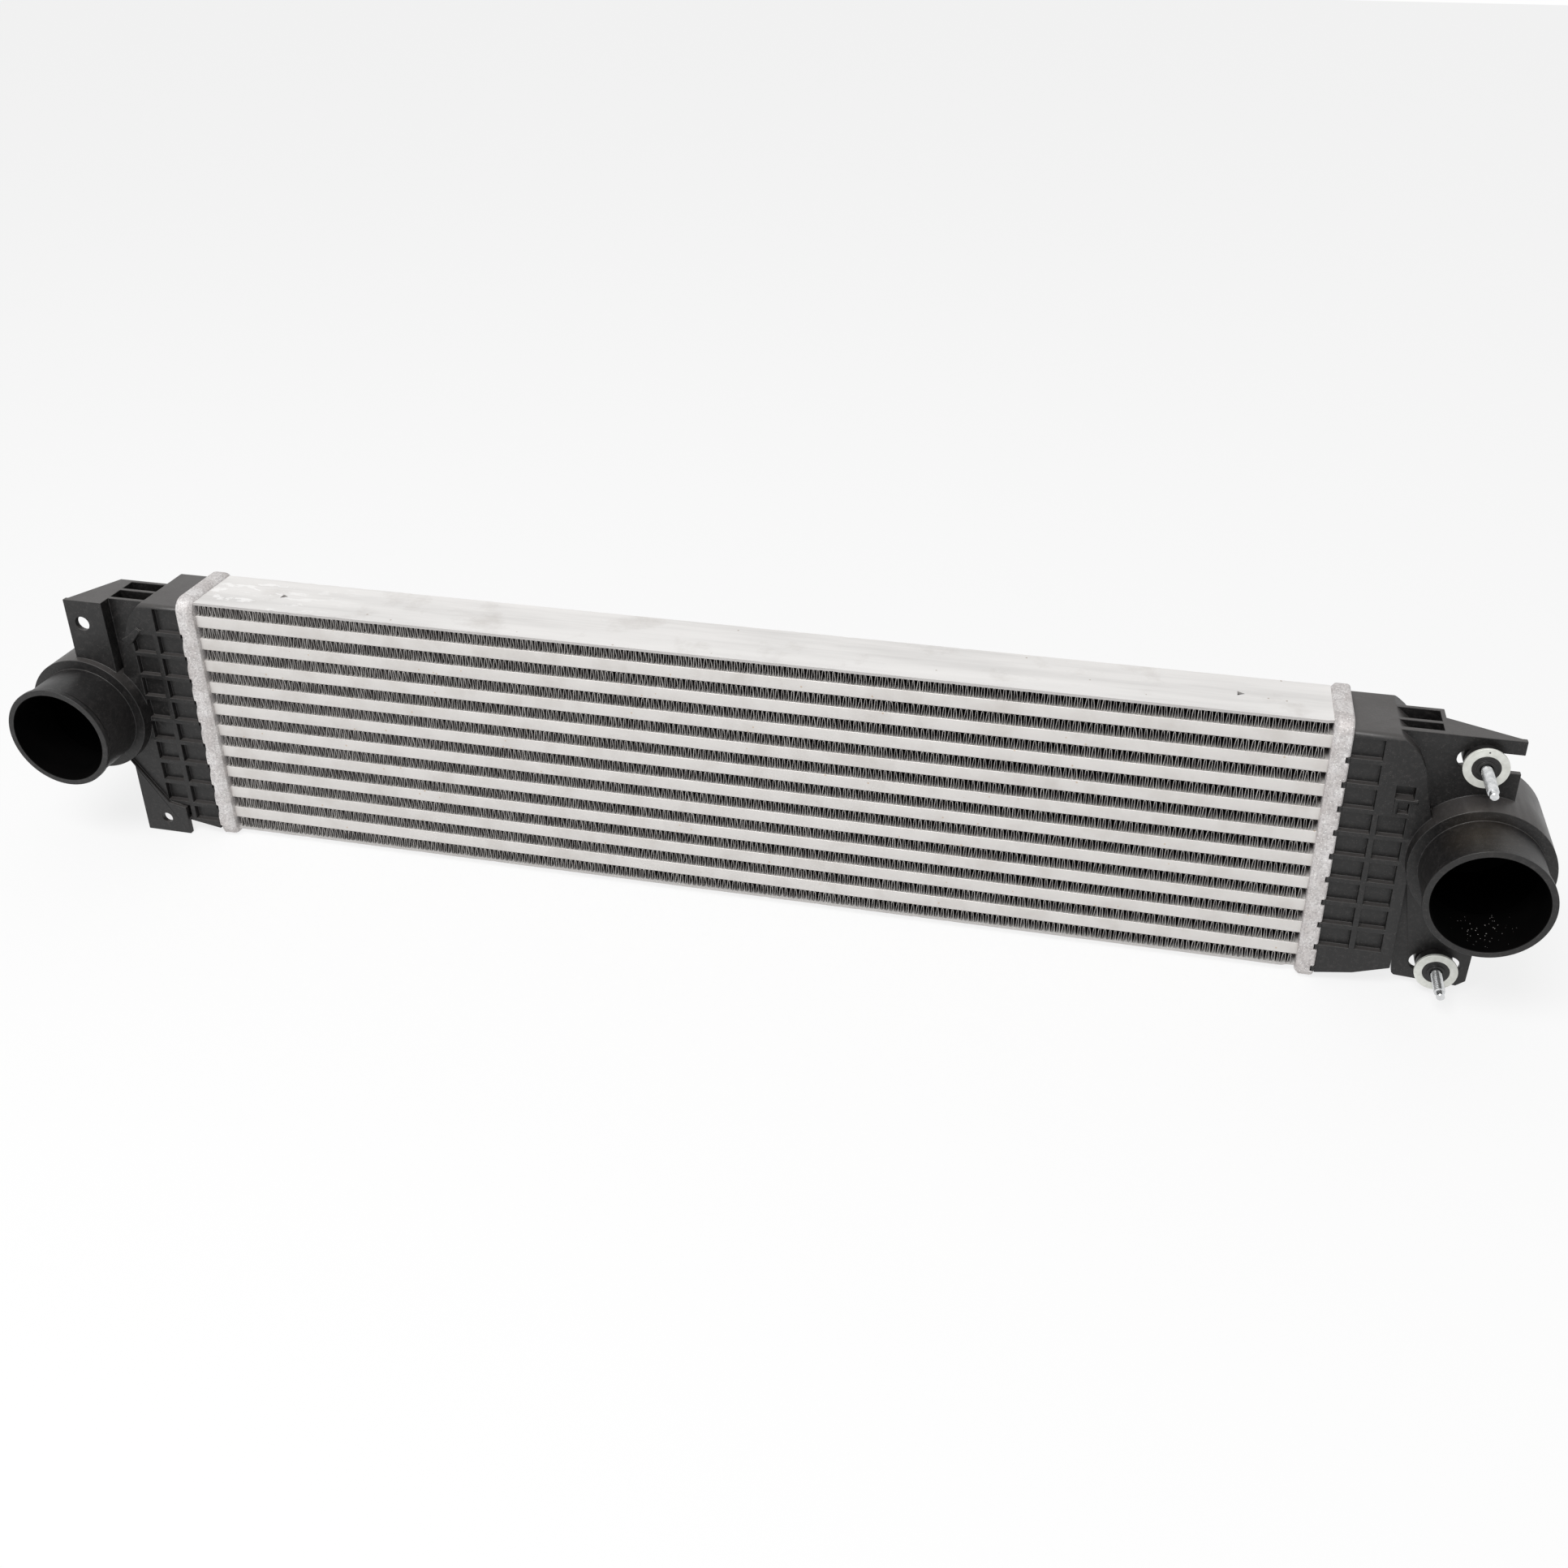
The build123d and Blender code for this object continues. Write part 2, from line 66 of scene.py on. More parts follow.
MM = 0.001
TUBES = ["tube_%02d" % i for i in range(1, 11)]
TURBULATORS = ["turbulator_%02d" % i for i in range(1, 11)]
FIN_ROWS = ["fin_row_%02d" % i for i in range(1, 12)]
PLACES = {row["name"]: row for row in frame["record"]["mounts"]}

WELD = 0.002 * MM  # points nearer than this are one point
BEND = 0.26 * MM  # reach of the bend between a fold's leg and its crest
LEAN_SCALE = 420.0  # the lean of the folds changes over about 2.4 mm
PLATE_STEP = 3.0 * MM  # distance between the cuts along a side plate's edge
EDGE_REACH = 0.1 * MM  # points this near a plate's front or back lie on its edge
RAGGED_END = 4.5 * MM  # length of a plate's ragged right end
BORE_REACH = 28.2 * MM  # just past the radius of a port's bore
POT_REACH = 33.3 * MM  # just past the radius of the pot inside
BORE_END = 14.6 * MM  # where the bore opens into the pot, behind the port's place
POT_END = 61.5 * MM  # the pot's back wall, behind the port's place
STUD_SIDES = 24


# Properties and colours

def linear(hex_colour):
    """An sRGB hex colour as the linear colour that a shader takes."""
    parts = [int(hex_colour[i:i + 2], 16) / 255 for i in (1, 3, 5)]
    parts = [c / 12.92 if c <= 0.04045 else ((c + 0.055) / 1.055) ** 2.4 for c in parts]
    return tuple(parts + [1])


def grey(value):
    return (value, value, value, 1)


def length(name, description, millimetres):
    return bpy.props.FloatProperty(name=name, description=description, default=millimetres * MM,
                                   unit="LENGTH")


def colour(name, description, hex_colour):
    return bpy.props.FloatVectorProperty(name=name, description=description, size=4, min=0.0,
                                         max=1.0, default=linear(hex_colour), subtype="COLOR")


class CoreSizes(bpy.types.PropertyGroup):
    fold_pitch: length("Fold pitch", "Length of one whole fold of a fin strip", 2.8)
    fin_sheet: length("Fin sheet", "Thickness of the fin strip", 0.28)
    crest: length("Crest", "Width of the flat of a fold against the tube", 0.4)
    fin_recess: length("Fin recess", "How far a fin strip stands behind the tubes", 0.35)
    jitter: length("Jitter", "How far a fold may lean along the strip", 1.8)
    seed: bpy.props.IntProperty(name="Seed", description="Seed for the leaning of the folds",
                                default=7)
    tube_upper: length("Tube's upper edges", "Radius of a tube's upper long edges", 0.3)
    tube_lower: length("Tube's lower edges", "Radius of a tube's lower long edges", 1.0)
    tube_wall: length("Tube wall", "Wall of a tube", 0.8)
    plate_wear: length("Plate wear", "Depth of the nicks along a side plate's edge", 0.9)
    header_round: length("Header edges", "Rounding of a header's edges", 0.5)


class TankSizes(bpy.types.PropertyGroup):
    tank_round: length("Tank edges", "Rounding of a tank's edges", 0.35)


class MountSizes(bpy.types.PropertyGroup):
    thread_pitch: length("Thread pitch", "Pitch of the studs' thread", 1.0)
    thread_depth: length("Thread depth", "Depth of the studs' thread", 0.3)
    shank_radius: length("Shank radius", "Radius of the plain shank", 2.6)
    tip_radius: length("Tip radius", "Radius of the dog point", 2.1)
    tip_length: length("Tip length", "Length of the dog point", 4.0)
    head_height: length("Head height", "Height of the hexagon head", 5.0)
    head_width: length("Head width", "Width of the hexagon head across its flats", 10.0)
    bush_round: length("Bush edges", "Rounding of a rubber bush's edges", 0.3)
    washer_round: length("Washer edges", "Rounding of a washer's edges", 0.2)


class StageSizes(bpy.types.PropertyGroup):
    floor_size: length("Floor", "Side of the square floor", 12000.0)
    key_power: bpy.props.FloatProperty(
        name="Key light", description="Power of the large light above and in front",
        default=30.0, unit="POWER")
    sky: bpy.props.FloatProperty(
        name="Sky", description="Strength of the soft light from above, before and behind",
        default=0.6)


class Colours(bpy.types.PropertyGroup):
    tube: colour("Tubes", "Middle tone of the tubes' aluminium", "#D6D3D0")
    fin_edge: colour("Fin edges", "Bright tone of the fin strips' edges", "#C0BDBA")
    # Painted shade between the folds of the fin strips, not a tone of the metal.
    fin_gap_shade: colour("Fin gap shade", "Tone between the folds of the fin strips", "#141111")
    plate: colour("Side plates", "Middle tone of the side plates", "#E6E4E2")
    header: colour("Headers", "Middle tone of the headers", "#D8D5D4")
    nylon: colour("Tanks", "Middle tone of the tanks' nylon", "#100F0F")
    # Dust, with a painted sheen from above, on what faces up on the tanks.
    tank_dust_and_sheen: colour("Tank dust", "Dust on what faces up on the tanks", "#716D6B")
    rubber: colour("Rubber", "Light tone of the rubber", "#222020")
    washer: colour("Washers", "Light tone of the washers' zinc", "#E6E7E1")
    stud: colour("Studs", "Light tone of the studs' zinc", "#E0E1E2")
    floor: colour("Floor", "Paint of the floor", "#F4F4F4")


# Shader helpers. Sockets that share a name are given by their number. Mix for colours: 0 is the
# factor, 6 and 7 the colours and output 2 the result. Map Range: 0 is the value, 1 and 2 what it
# comes from, 3 and 4 what it goes to.

def add_node(tree, kind, values=None, out=0, stops=(), **settings):
    """Adds a node with its settings, its inputs' values or links and a ramp's stops, and gives
    back one of its outputs."""
    node = tree.nodes.new(kind)
    for name, value in settings.items():
        setattr(node, name, value)
    for key, value in (values or {}).items():
        if isinstance(value, bpy.types.NodeSocket):
            tree.links.new(value, node.inputs[key])
        else:
            node.inputs[key].default_value = value
    if stops:
        elements = node.color_ramp.elements
        while len(elements) < len(stops):
            elements.new(0.5)
        for element, (at, tone) in zip(elements, stops):
            element.position = at
            element.color = tone
    return node.outputs[out] if node.outputs else None


def cells(size):
    """The scale that makes a pattern's cells so many millimetres wide."""
    return 1 / (size * MM)


def drawn_out(tree, place, length_mm, width_mm, detail, roughness):
    """Noise whose cells are longer or shorter along X than across it."""
    across = cells(width_mm)
    place = add_node(tree, "ShaderNodeMapping", {
        "Vector": place, "Scale": (cells(length_mm), across, across)})
    return add_node(tree, "ShaderNodeTexNoise", {
        "Vector": place, "Scale": 1.0, "Detail": detail, "Roughness": roughness})


def flecks(tree, place, spacing_mm, radius):
    """1 on round spots scattered about one to a cell, whose radius is a share of the cell."""
    reach = add_node(tree, "ShaderNodeTexVoronoi", {
        "Vector": place, "Scale": cells(spacing_mm)}, "Distance")
    return add_node(tree, "ShaderNodeMath", {0: reach, 1: radius}, operation="LESS_THAN")


def near_line(tree, place, x, z, radius, soft):
    """1 within a radius of a line along Y, falling to 0 over a soft edge."""
    flat = add_node(tree, "ShaderNodeVectorMath", {0: place, 1: (1, 0, 1)}, operation="MULTIPLY")
    reach = add_node(tree, "ShaderNodeVectorMath", {0: flat, 1: (x, 0, z)}, "Value",
                     operation="DISTANCE")
    return add_node(tree, "ShaderNodeMapRange", {
        0: reach, 1: radius, 2: radius + soft, 3: 1.0, 4: 0.0})


def near_point(tree, place, point, start, end, most):
    """A value that falls from its most to 0 between two distances from a point."""
    reach = add_node(tree, "ShaderNodeVectorMath", {0: place, 1: point}, "Value",
                     operation="DISTANCE")
    return add_node(tree, "ShaderNodeMapRange", {0: reach, 1: start, 2: end, 3: most, 4: 0.0})


def before(tree, place, axis, start, end):
    """1 before the start along an axis and 0 past the end."""
    split = add_node(tree, "ShaderNodeSeparateXYZ", {0: place}, axis)
    past = add_node(tree, "ShaderNodeMapRange", {0: split, 1: start, 2: end, 3: 0.0, 4: 1.0})
    return add_node(tree, "ShaderNodeMath", {0: 1.0, 1: past}, operation="SUBTRACT")


def facing(tree, axis):
    """How far the surface faces along an axis."""
    normal = add_node(tree, "ShaderNodeNewGeometry", out="Normal")
    return add_node(tree, "ShaderNodeSeparateXYZ", {0: normal}, axis)


def new_material(name):
    """An empty material, its tree and the object's coordinates."""
    material = bpy.data.materials.new(name)
    material.use_nodes = True
    tree = material.node_tree
    tree.nodes.clear()
    return material, tree, add_node(tree, "ShaderNodeTexCoord", out="Object")


def surface(tree, values):
    """Ends a tree with a Principled shader that has the given values and links."""
    shader = add_node(tree, "ShaderNodeBsdfPrincipled", values)
    add_node(tree, "ShaderNodeOutputMaterial", {"Surface": shader})


# Materials. A pixel of the render is about 0.45 mm wide, so a finer pattern is drawn coarser.

def brazed_tube_aluminium(colours):
    """Rolled aluminium after the brazing furnace: pale, satin, faint stains and tan specks."""
    material, tree, place = new_material("Brazed tube aluminium")
    # Furnace stains are a few centimetres across.
    cloud = add_node(tree, "ShaderNodeTexNoise", {
        "Vector": place, "Scale": cells(22.2222), "Detail": 4.0, "Roughness": 0.6})
    tint = add_node(tree, "ShaderNodeValToRGB", {"Fac": cloud}, stops=(
        (0.30, linear("#CCC8C4")), (0.52, colours.tube), (0.72, linear("#DAD7D4"))))
    # Specks of flux, half a millimetre in radius, in patches of a few centimetres.
    spread = add_node(tree, "ShaderNodeTexNoise", {
        "Vector": place, "Scale": cells(33.3333), "Detail": 2.0, "Roughness": 0.5})
    patch = add_node(tree, "ShaderNodeMath", {0: spread, 1: 0.52}, operation="GREATER_THAN")
    speck = add_node(tree, "ShaderNodeMath", {0: flecks(tree, place, 6.25, 0.09), 1: patch},
                     operation="MULTIPLY")
    speck = add_node(tree, "ShaderNodeMath", {0: speck, 1: 0.55}, operation="MULTIPLY")
    tint = add_node(tree, "ShaderNodeMix", {0: speck, 6: tint, 7: linear("#B99C78")}, 2,
                    data_type="RGBA")
    # Rolling lines are about 0.1 mm apart and are drawn at 1.1 mm, so that they show.
    rolling = drawn_out(tree, place, 83.3333, 1.11111, 3.0, 0.5)
    rough = add_node(tree, "ShaderNodeValToRGB", {"Fac": cloud}, stops=(
        (0.3, grey(0.52)), (0.7, grey(0.42))))
    relief = add_node(tree, "ShaderNodeBump", {
        "Height": rolling, "Strength": 0.1, "Distance": 0.2 * MM})
    surface(tree, {"Metallic": 0.4, "Base Color": tint, "Roughness": rough, "Normal": relief})
    return material


def fin_aluminium(colours, front, back):
    """Thin aluminium strip: bare along its edges, darkened with painted shade between the folds.
    """
    material, tree, place = new_material("Fin strip aluminium")
    # The edge's tone changes every two folds or so.
    patch = add_node(tree, "ShaderNodeTexNoise", {
        "Vector": place, "Scale": cells(6.25), "Detail": 2.0, "Roughness": 0.5})
    edge = add_node(tree, "ShaderNodeValToRGB", {"Fac": patch}, stops=(
        (0.30, linear("#8C8886")), (0.70, colours.fin_edge)))
    split = add_node(tree, "ShaderNodeSeparateXYZ", {0: place}, "Y")
    offset = add_node(tree, "ShaderNodeMath", {0: split, 1: (front + back) / 2},
                      operation="SUBTRACT")
    depth = add_node(tree, "ShaderNodeMath", {0: offset}, operation="ABSOLUTE")
    # The painted shade starts 0.5 mm behind the edge and is full at 2.6 mm.
    half = (back - front) / 2
    inside = add_node(tree, "ShaderNodeMapRange", {
        0: depth, 1: half - 0.5 * MM, 2: half - 2.6 * MM, 3: 0.0, 4: 1.0})
    tint = add_node(tree, "ShaderNodeMix", {0: inside, 6: edge, 7: colours.fin_gap_shade}, 2,
                    data_type="RGBA")
    surface(tree, {"Metallic": 0.4, "Roughness": 0.5, "Base Color": tint})
    return material


def plate_aluminium(colours):
    """Rolled plate: pale, streaked along its length, cloudy flux marks, a few brown specks."""
    material, tree, place = new_material("Rolled plate aluminium")
    # Streaks from the rolls, 14 mm wide, and flux marks about 40 mm across.
    streak = drawn_out(tree, place, 166.667, 14.2857, 5.0, 0.6)
    cloud = add_node(tree, "ShaderNodeTexNoise", {
        "Vector": place, "Scale": cells(38.4615), "Detail": 6.0, "Roughness": 0.65})
    streaks = add_node(tree, "ShaderNodeValToRGB", {"Fac": streak}, stops=(
        (0.32, linear("#D6D4D2")), (0.52, colours.plate), (0.70, linear("#ECEAE8"))))
    clouds = add_node(tree, "ShaderNodeValToRGB", {"Fac": cloud}, stops=(
        (0.26, linear("#E9E7E5")), (0.44, linear("#FFFFFF")), (0.66, linear("#FFFFFF")),
        (0.80, linear("#F3EDE7"))))
    tint = add_node(tree, "ShaderNodeMix", {0: 1.0, 6: streaks, 7: clouds}, 2,
                    data_type="RGBA", blend_type="MULTIPLY")
    # Brown specks, half a millimetre in radius, in patches of about 40 mm.
    spread = add_node(tree, "ShaderNodeTexNoise", {
        "Vector": place, "Scale": cells(41.6667), "Detail": 2.0, "Roughness": 0.5})
    patch = add_node(tree, "ShaderNodeMath", {0: spread, 1: 0.56}, operation="GREATER_THAN")
    speck = add_node(tree, "ShaderNodeMath", {0: flecks(tree, place, 8.33333, 0.07), 1: patch},
                     operation="MULTIPLY")
    speck = add_node(tree, "ShaderNodeMath", {0: speck, 1: 0.6}, operation="MULTIPLY")
    tint = add_node(tree, "ShaderNodeMix", {0: speck, 6: tint, 7: linear("#8C7660")}, 2,
                    data_type="RGBA")
    # Paler dashes, 14 mm long and 5 mm wide, on the left end.
    left_end = before(tree, place, "X", -0.275, -0.215)
    pale_dashes = drawn_out(tree, place, 14.2857, 5.26316, 4.0, 0.6)
    pale_dashes = add_node(tree, "ShaderNodeMath", {0: pale_dashes, 1: 0.57}, operation="GREATER_THAN")
    pale_dashes = add_node(tree, "ShaderNodeMath", {0: pale_dashes, 1: left_end}, operation="MULTIPLY")
    pale_dashes = add_node(tree, "ShaderNodeMath", {0: pale_dashes, 1: 0.6}, operation="MULTIPLY")
    tint = add_node(tree, "ShaderNodeMix", {0: pale_dashes, 6: tint, 7: linear("#FCFBFA")}, 2,
                    data_type="RGBA")
    # The sheared front and back edges are duller.
    sheared = add_node(tree, "ShaderNodeMath", {0: facing(tree, "Y")}, operation="ABSOLUTE")
    sheared = add_node(tree, "ShaderNodeMath", {0: sheared, 1: 0.75}, operation="MULTIPLY")
    tint = add_node(tree, "ShaderNodeMix", {0: sheared, 6: tint, 7: linear("#A9A6A4")}, 2,
                    data_type="RGBA")
    rough = add_node(tree, "ShaderNodeValToRGB", {"Fac": cloud}, stops=(
        (0.35, grey(0.42)), (0.65, grey(0.52))))
    relief = add_node(tree, "ShaderNodeBump", {
        "Height": streak, "Strength": 0.15, "Distance": 0.3 * MM})
    surface(tree, {"Metallic": 0.3, "Base Color": tint, "Roughness": rough, "Normal": relief})
    return material


def header_aluminium(colours):
    """Pressed header after brazing: matt, grainy with flux crust and bright grains, whose pale
    colour is partly painted glint.
    """
    material, tree, place = new_material("Fluxed header aluminium")
    # The crust's grains are 0.2 mm and are drawn at 1.1 mm, so that they show. It is
    # blotched every 9 mm.
    grain = add_node(tree, "ShaderNodeTexNoise", {
        "Vector": place, "Scale": cells(1.11111), "Detail": 3.0, "Roughness": 0.7})
    blotch = add_node(tree, "ShaderNodeTexNoise", {
        "Vector": place, "Scale": cells(9.09091), "Detail": 4.0, "Roughness": 0.5})
    grains = add_node(tree, "ShaderNodeValToRGB", {"Fac": grain}, stops=(
        (0.32, linear("#B6B3B3")), (0.52, colours.header), (0.70, linear("#E9E7E6"))))
    blotches = add_node(tree, "ShaderNodeValToRGB", {"Fac": blotch}, stops=(
        (0.35, linear("#E6E3E2")), (0.65, linear("#FFFFFF"))))
    tint = add_node(tree, "ShaderNodeMix", {0: 1.0, 6: grains, 7: blotches}, 2,
                    data_type="RGBA", blend_type="MULTIPLY")
    # Bright grains, a quarter of a millimetre in radius, 1.6 mm apart. They are paler and less
    # rough, and their pale colour is partly painted glint.
    bright = flecks(tree, place, 1.612903, 0.16)
    tint = add_node(tree, "ShaderNodeMix", {0: bright, 6: tint, 7: linear("#F6F5F4")}, 2,
                    data_type="RGBA")
    rough = add_node(tree, "ShaderNodeMath", {0: bright, 1: -0.3, 2: 0.58},
                     operation="MULTIPLY_ADD")
    relief = add_node(tree, "ShaderNodeBump", {
        "Height": grain, "Strength": 0.5, "Distance": 0.4 * MM})
    surface(tree, {"Metallic": 0.3, "Base Color": tint, "Roughness": rough, "Normal": relief})
    return material


def tank_nylon(colours, name, port, smudge):
    """Moulded glass filled nylon: black, spark eroded grain, scuffs. Dust and a painted sheen
    from above make what faces up paler.
    """
    material, tree, place = new_material(name)
    x, y, z = port
    # Flow marks are a few centimetres long, and scuffs about 2.4 mm. The grain is 0.1 mm and is
    # drawn at 0.7 mm, so that it shows.
    flow = add_node(tree, "ShaderNodeTexNoise", {
        "Vector": place, "Scale": cells(35.7143), "Detail": 6.0, "Roughness": 0.65})
    grain = add_node(tree, "ShaderNodeTexNoise", {
        "Vector": place, "Scale": cells(0.714286), "Detail": 2.0, "Roughness": 0.5})
    scuff = add_node(tree, "ShaderNodeTexNoise", {
        "Vector": place, "Scale": cells(2.38095), "Detail": 6.0, "Roughness": 0.75})
    tint = add_node(tree, "ShaderNodeValToRGB", {"Fac": flow}, stops=(
        (0.30, linear("#0B0A0A")), (0.55, colours.nylon), (0.75, linear("#191717"))))
    scuff = add_node(tree, "ShaderNodeValToRGB", {"Fac": scuff}, stops=(
        (0.50, grey(0.0)), (0.72, grey(0.16))))
    tint = add_node(tree, "ShaderNodeMix", {0: scuff, 6: tint, 7: linear("#6B6664")}, 2,
                    data_type="RGBA")
    # Lint, 0.13 mm in radius and 1.1 mm apart, in patches of 11 mm.
    spread = add_node(tree, "ShaderNodeTexNoise", {
        "Vector": place, "Scale": cells(11.1111), "Detail": 3.0, "Roughness": 0.5})
    patch = add_node(tree, "ShaderNodeMath", {0: spread, 1: 0.5}, operation="GREATER_THAN")
    lint = add_node(tree, "ShaderNodeMath", {0: flecks(tree, place, 1.11111, 0.12), 1: patch},
                    operation="MULTIPLY")
    lint = add_node(tree, "ShaderNodeMath", {0: lint, 1: 0.3}, operation="MULTIPLY")
    tint = add_node(tree, "ShaderNodeMix", {0: lint, 6: tint, 7: linear("#8E8A88")}, 2,
                    data_type="RGBA")
    # Dust and a painted sheen from above lie on what faces up, apart from the neck of the port,
    # which stays dark.
    neck = near_line(tree, place, x, z, 33.5 * MM, 0.5 * MM)
    ahead = before(tree, place, "Y", y + 12.0 * MM, y + 13.0 * MM)
    neck = add_node(tree, "ShaderNodeMath", {0: neck, 1: ahead}, operation="MULTIPLY")
    bare = add_node(tree, "ShaderNodeMath", {0: 1.0, 1: neck}, operation="SUBTRACT")
    dust_and_sheen = add_node(tree, "ShaderNodeMapRange", {
        0: facing(tree, "Z"), 1: 0.3, 2: 1.0, 3: 0.0, 4: 0.3})
    dust_and_sheen = add_node(tree, "ShaderNodeMath", {0: dust_and_sheen, 1: bare}, operation="MULTIPLY")
    tint = add_node(tree, "ShaderNodeMix", {0: dust_and_sheen, 6: tint, 7: colours.tank_dust_and_sheen}, 2,
                    data_type="RGBA")
    if smudge:
        # A brown smudge on the neck, wiped in streaks 17 mm long and 4 mm wide.
        spot = (x - 0.006, y + 0.002, z + 0.029)
        spread = near_point(tree, place, spot, 4 * MM, 22 * MM, 0.28)
        streak = drawn_out(tree, place, 16.6667, 3.84615, 4.0, 0.6)
        wiped = add_node(tree, "ShaderNodeMath", {0: spread, 1: streak}, operation="MULTIPLY")
        tint = add_node(tree, "ShaderNodeMix", {0: wiped, 6: tint, 7: linear("#5E5242")}, 2,
                        data_type="RGBA")
    rough = add_node(tree, "ShaderNodeValToRGB", {"Fac": flow}, stops=(
        (0.30, grey(0.36)), (0.70, grey(0.52))))
    relief = add_node(tree, "ShaderNodeBump", {
        "Height": grain, "Strength": 0.25, "Distance": 0.2 * MM})
    surface(tree, {"IOR": 1.5, "Base Color": tint, "Roughness": rough, "Normal": relief})
    return material


def painted_shade_bore(name, port, specks):
    """The same nylon inside a port, painted near black for the shade deep in the bore and pot:
    dead matt, with pale crumbs on the floor of one bore.
    """
    material, tree, place = new_material(name)
    x, y, z = port
    # The painted near black is cloudy every 17 mm.
    film = add_node(tree, "ShaderNodeTexNoise", {
        "Vector": place, "Scale": cells(16.6667), "Detail": 4.0, "Roughness": 0.5})
    tint = add_node(tree, "ShaderNodeValToRGB", {"Fac": film}, stops=(
        (0.30, linear("#030303")), (0.70, linear("#070606"))))
    if specks:
        # The crumbs are up to a quarter of a millimetre in radius and 1.7 mm apart.
        spot = (x + 0.004, y + 0.002, z - 0.026)
        thick = near_point(tree, place, spot, 4 * MM, 24 * MM, 0.142)
        crumb = flecks(tree, place, 1.66667, thick)
        tint = add_node(tree, "ShaderNodeMix", {0: crumb, 6: tint, 7: linear("#C9C7C5")}, 2,
                        data_type="RGBA")
    surface(tree, {"IOR": 1.5, "Roughness": 0.6, "Specular IOR Level": 0.06,
                   "Base Color": tint})
    return material


def moulded_rubber(colours, name, roughness):
    """Black rubber: even, with a little bloom in patches of about 3 mm."""
    material, tree, place = new_material(name)
    bloom = add_node(tree, "ShaderNodeTexNoise", {
        "Vector": place, "Scale": cells(3.33333), "Detail": 3.0, "Roughness": 0.5})
    tint = add_node(tree, "ShaderNodeValToRGB", {"Fac": bloom}, stops=(
        (0.35, linear("#141313")), (0.70, colours.rubber)))
    surface(tree, {"Roughness": roughness, "IOR": 1.5, "Base Color": tint})
    return material


def zinc_washer(colours, x, z):
    """Dull zinc plating: pale with a faint green cast, mottled, with a stamped dot at X and Z."""
    material, tree, place = new_material("Dull zinc washer")
    # The plating is mottled every 3 mm.
    mottle = add_node(tree, "ShaderNodeTexNoise", {
        "Vector": place, "Scale": cells(2.85714), "Detail": 4.0, "Roughness": 0.5})
    tint = add_node(tree, "ShaderNodeValToRGB", {"Fac": mottle}, stops=(
        (0.35, linear("#D6D7D0")), (0.65, colours.washer)))
    dot = near_line(tree, place, x, z, 0.35 * MM, 0.2 * MM)
    tint = add_node(tree, "ShaderNodeMix", {0: dot, 6: tint, 7: linear("#2A2A28")}, 2,
                    data_type="RGBA")
    relief = add_node(tree, "ShaderNodeBump", {
        "Height": mottle, "Strength": 0.1, "Distance": 0.2 * MM})
    surface(tree, {"Metallic": 0.35, "Roughness": 0.45, "Base Color": tint, "Normal": relief})
    return material


def bright_zinc(colours):
    """Bright zinc plating: shiny and a little cloudy, every 3 mm."""
    material, tree, place = new_material("Bright zinc stud")
    mottle = add_node(tree, "ShaderNodeTexNoise", {
        "Vector": place, "Scale": cells(2.85714), "Detail": 4.0, "Roughness": 0.5})
    tint = add_node(tree, "ShaderNodeValToRGB", {"Fac": mottle}, stops=(
        (0.35, linear("#C6C8C9")), (0.65, colours.stud)))
    surface(tree, {"Metallic": 0.85, "Roughness": 0.22, "Base Color": tint})
    return material


# Piece helpers

def dress(node, material):
    """Gives a carried-over node its material."""
    for slot in frame["nodes"][node].material_slots:
        slot.material = material


def settle(piece, node, material):
    """Puts a finished piece in the scene in a node's place."""
    if not piece.data.polygons:
        raise RuntimeError(node + " has no faces")
    piece.data.materials.clear()
    piece.data.materials.append(material)
    bpy.context.scene.collection.objects.link(piece)
    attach(piece, "root")
    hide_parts(node)


def node_mesh(node):
    """A node's mesh in the scene's place, merged and with its flat faces joined."""
    source = frame["nodes"][node]
    mesh = bmesh.new()
    mesh.from_mesh(source.data)
    mesh.transform(source.matrix_world)
    bmesh.ops.remove_doubles(mesh, verts=mesh.verts, dist=WELD)
    bmesh.ops.dissolve_limit(mesh, angle_limit=math.radians(0.5), verts=mesh.verts,
                             edges=mesh.edges)
    return mesh


def finished(name, mesh, sharp=30):
    """An object from a bmesh, its faces turned outwards and smooth up to an angle in degrees."""
    bmesh.ops.recalc_face_normals(mesh, faces=mesh.faces)
    for face in mesh.faces:
        face.smooth = True
    data = bpy.data.meshes.new(name)
    mesh.to_mesh(data)
    mesh.free()
    data.set_sharp_from_angle(angle=math.radians(sharp))
    return bpy.data.objects.new(name, data)


def softened(name, node, width):
    """A node's mesh whose sharp edges are rounded by two facets, kept within the node's box."""
    low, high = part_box(node)
    rough = finished(name + "_rough", node_mesh(node))
    bpy.context.scene.collection.objects.link(rough)
    bevel = rough.modifiers.new("Edges", "BEVEL")
    bevel.width = width
    bevel.segments = 2
    bevel.limit_method = "ANGLE"
    bevel.angle_limit = math.radians(30)
    bevel.use_clamp_overlap = False
    bevel.harden_normals = True
    bpy.context.view_layer.update()
    ready = rough.evaluated_get(bpy.context.evaluated_depsgraph_get())
    data = bpy.data.meshes.new_from_object(ready)
    data.name = name
    # The bevel throws two points at the left header's foot 0.9 mm below its box. They are moved
    # back onto it, and the bevel stays crumpled there.
    for vert in data.vertices:
        vert.co = [min(max(vert.co[i], low[i]), high[i]) for i in range(3)]
    bpy.data.objects.remove(rough)
    return bpy.data.objects.new(name, data)


# Fin strips

